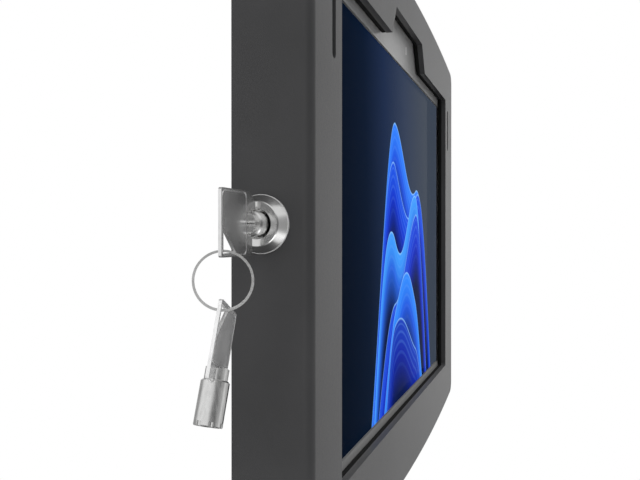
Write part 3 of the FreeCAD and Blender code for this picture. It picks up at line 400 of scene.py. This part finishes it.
# Along which axis the turned pieces show their lines, by stretching the pattern
TURNED = (0.15, 1.0, 1.0)
BARREL_ONE = (0.1, 1.0, 1.0)
BARREL_TWO = (1.0, 1.0, 0.1)
wear(powder_coat(), "front_cover", "back_plate", "lower_cradle", "upper_cradle")
wear(nickel("zinc_plate", 0.50, 0.36, stained=0.15), "latch_keeper", "lock_nut", "lock_cam", "cam_screw",
     "charge_port")
wear(nickel("turned_nickel", 0.78, 0.16, TURNED), "lock_plug")
wear(nickel("flange_nickel", 0.78, 0.16, TURNED, rim=flange_rim()), "lock_housing")
# Key two's barrel is a lighter copy of key one's nickel: painted light.
wear(nickel("key_one_nickel", 0.78, 0.2, BARREL_ONE, streak=0.3), "key_one_barrel")
wear(nickel("key_two_nickel", 0.9, 0.24, BARREL_TWO, streak=0.5), "key_two_barrel")
wear(nickel("ring_wire", 0.86, 0.28), "key_ring")
# The two grips are one metal; key one's darker faces are painted shade and key two's lighter faces painted
# light.
wear(stamping_with_painted_light("key_one_grip", KEY_ONE_FACING, 0.46, 0.88), "key_one_grip")
wear(stamping_with_painted_light("key_two_grip", KEY_TWO_FACING, 0.85, 0.7), "key_two_grip")
wear(anodised("rivet_metal", 0.62), "cradle_rivets")
for name in ("tablet_housing", "power_button", "volume_rocker"):
    wear(anodised("tablet_metal"), name)
wear(brass(), "lock_pins")
wear(rubber("grommet_rubber"), "cable_grommet")
wear(lit_picture(), "display_panel")
wear(cover_glass(), "tablet_glass")
wear(lens_black(), "camera_lens")
wear(sensor_with_painted_glow(), "sensor_window")


# The finest break of each edge, in millimetres, which catches a thin line of light
BROKEN_EDGES = {"lock_housing": 0.10, "lock_plug": 0.06, "key_one_barrel": 0.08, "key_two_barrel": 0.08,
                "key_one_grip": 0.08, "key_two_grip": 0.08, "front_cover": 0.12}
for name, width in BROKEN_EDGES.items():
    broken = nodes[name].modifiers.new("broken_edge", "BEVEL")
    broken.width = width * MM
    broken.segments = 2
    broken.limit_method = "ANGLE"
    broken.angle_limit = math.radians(35)


# Foam pieces, drawn with soft edges in place of their plain solids
foam = rubber("foam", 0.005, 0.9, 0.08)


def window_path(grow):
    """The window's outline with its notch, grown by a margin, as points with round corners."""
    half, top = WINDOW_HALF_WIDTH + grow, WINDOW_HALF_HEIGHT + grow
    foot, shoulder = NOTCH_FOOT + grow * NOTCH_SLANT, NOTCH_SHOULDER + grow * NOTCH_SLANT
    peak = NOTCH_HEIGHT + grow
    corners = [Vector(place) for place in (
        (half, -top), (half, top), (foot, top), (shoulder, peak),
        (-shoulder, peak), (-foot, top), (-half, top), (-half, -top))]
    path = []
    for number, here in enumerate(corners):
        last, following = corners[number - 1], corners[(number + 1) % len(corners)]
        start = here + (last - here).normalized() * WINDOW_CORNER
        end = here + (following - here).normalized() * WINDOW_CORNER
        middle = here + ((end - here) + (start - here)) * 0.25
        path += [start, middle, end]
    return path


def foam_gasket():
    low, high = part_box("front_gasket")
    back, front = high[1], low[1]
    slight, clear = back - 0.0002, back - 0.0006
    profile = [(0.02, front), (0.02, clear), (0.25, slight), (0.8, back),
               (5.2, back), (5.75, slight), (5.95, clear), (5.95, front)]
    paths = [window_path(grow) for grow, _ in profile]
    count = len(paths[0])
    points, faces = [], []
    for path, (_, depth) in zip(paths, profile):
        points += [(p.x * MM, depth, p.y * MM) for p in path]
    for layer in range(len(profile)):
        near, far = layer * count, (layer + 1) % len(profile) * count
        for step in range(count):
            beside = (step + 1) % count
            faces.append((near + step, near + beside, far + beside, far + step))
    mesh = bpy.data.meshes.new("foam_gasket")
    mesh.from_pydata(points, [], faces)
    mesh.update()
    mesh.materials.append(foam)
    for face in mesh.polygons:
        face.use_smooth = True
    thing = bpy.data.objects.new("foam_gasket", mesh)
    bpy.context.scene.collection.objects.link(thing)
    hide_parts("front_gasket")
    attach(thing, "cover")


def foam_pads():
    low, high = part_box("rear_pads")
    side = PAD_SIDE * MM
    for number, (across, up) in enumerate(((1, 1), (-1, 1), (1, -1), (-1, -1))):
        bpy.ops.mesh.primitive_cube_add(size=1.0)
        pad = bpy.context.object
        pad.name = "foam_pad_%d" % number
        middle = Vector((PAD_ACROSS * MM * across, (low[1] + high[1]) / 2, PAD_UP * MM * up))
        stretch = Matrix.Diagonal((side, high[1] - low[1], side, 1.0))
        pad.data.transform(Matrix.Translation(middle) @ stretch)
        soft = pad.modifiers.new("soft_edges", "BEVEL")
        soft.width = 0.0012
        soft.segments = 3
        pad.data.materials.append(foam)
        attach(pad, "wall_part")
    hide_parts("rear_pads")


foam_gasket()
foam_pads()

# Light from round the part: direction, where its fade starts and ends, and strength in the middle
DIM_SIDES = (((-0.66, -0.75, 0.0), 0.77, 0.98, 0.2),
             ((0.25, 0.15, -0.95), 0.5, 0.92, 0.1),
             ((0.25, 0.45, 0.86), 0.6, 0.92, 0.15),
             ((0.3, 0.95, 0.0), 0.8, 0.98, 0.4),
             ((0.82, -0.57, -0.06), 0.85, 0.97, 0.6),
             ((-0.1, -0.995, 0.0), 0.84, 0.98, 0.45))
BRIGHT_SIDES = (((1.0, 0.0, 0.0), 0.93, 0.998, 0.6),
                ((0.07, -0.72, -0.69), 0.93, 0.995, 0.5))
# Lamps: name, size, power, place, and whether metal mirrors it
LAMPS = (("softbox", 2.0, 16.6, (-1.4, -0.2, 1.0), False),
         ("overhead", 0.5, 21.0, (0.15, -0.24, 1.2), False),
         ("low_card", 0.3, 0.2, (-0.43, -0.25, -0.36), True))


def light_all_round():
    """White where it is seen, and shaded light where it falls on the part."""
    world = bpy.data.worlds.new("studio")
    bpy.context.scene.world = world
    world.use_nodes = True
    w = Nodes(world.node_tree)
    ray = w.node("TexCoord").outputs["Generated"]
    level = 1.0
    for direction, start, end, strength in DIM_SIDES:
        near = w.dot(ray, Vector(direction).normalized())
        level = w.math("MULTIPLY", level, w.spread(near, start, end, 1.0, strength))
    for direction, start, end, strength in BRIGHT_SIDES:
        near = w.dot(ray, Vector(direction).normalized())
        level = w.math("ADD", level, w.spread(near, start, end, 0.0, strength))
    shaded = w.node("Background")
    w.set(shaded.inputs["Strength"], level)
    plain = w.node("Background")
    w.set(plain.inputs["Color"], (1, 1, 1, 1))
    seen = w.node("LightPath").outputs["Is Camera Ray"]
    w.set(w.node("OutputWorld").inputs[0], w.blend(seen, shaded.outputs[0], plain.outputs[0]))


def pale_floor():
    """A plain floor, white where it is seen and left out where metal would mirror it."""
    bpy.ops.mesh.primitive_plane_add(size=6.0, location=(0, 0, -0.6))
    floor = bpy.context.object
    floor.name = "floor"
    s = Shader("floor_white")
    pale = s.node("BsdfDiffuse")
    s.set(pale.inputs["Color"], s.ramp(s.noise(3.0), [(0.3, grey(0.80)), (0.7, grey(0.84))]))
    ray = s.node("LightPath").outputs
    seen = s.blend(ray["Is Camera Ray"], pale.outputs[0], s.node("Emission").outputs[0])
    floor.data.materials.append(
        s.finish(s.blend(ray["Is Glossy Ray"], seen, s.node("BsdfTransparent").outputs[0])))


def lamps():
    for name, size, energy, place, mirrored in LAMPS:
        light = bpy.data.lights.new(name, "AREA")
        light.shape = "DISK"
        light.size = size
        light.energy = energy
        lamp = bpy.data.objects.new(name, light)
        lamp.location = place
        aim = Vector((-0.18, -0.01, 0)) - lamp.location
        lamp.rotation_mode = "QUATERNION"
        lamp.rotation_quaternion = aim.to_track_quat("-Z", "Y")
        lamp.visible_camera = False
        lamp.visible_glossy = mirrored
        bpy.context.scene.collection.objects.link(lamp)


light_all_round()
pale_floor()
lamps()

# Camera, fitted to the photo's edges: focal length and width of the photo in pixels
FOCAL_LENGTH = 744.6
PHOTO_WIDTH = 640
SENSOR_WIDTH = 36.0
EYE = (-0.4005, -0.1028, -0.0033)
LOOK = (0.9543, 0.2988, -0.0037)
camera = bpy.data.cameras.new("camera")
camera.sensor_width = SENSOR_WIDTH
camera.lens = FOCAL_LENGTH / PHOTO_WIDTH * SENSOR_WIDTH
camera.clip_start = 0.01
camera.clip_end = 50.0
stand = bpy.data.objects.new("camera", camera)
forward = Vector(LOOK).normalized()
side = Vector((forward.y, -forward.x, 0)).normalized()
upward = side.cross(forward)
turn = Matrix((side, upward, -forward)).transposed()
stand.matrix_world = Matrix.Translation(EYE) @ turn.to_4x4()
bpy.context.scene.collection.objects.link(stand)
bpy.context.scene.camera = stand
bpy.context.scene.view_settings.view_transform = "Standard"
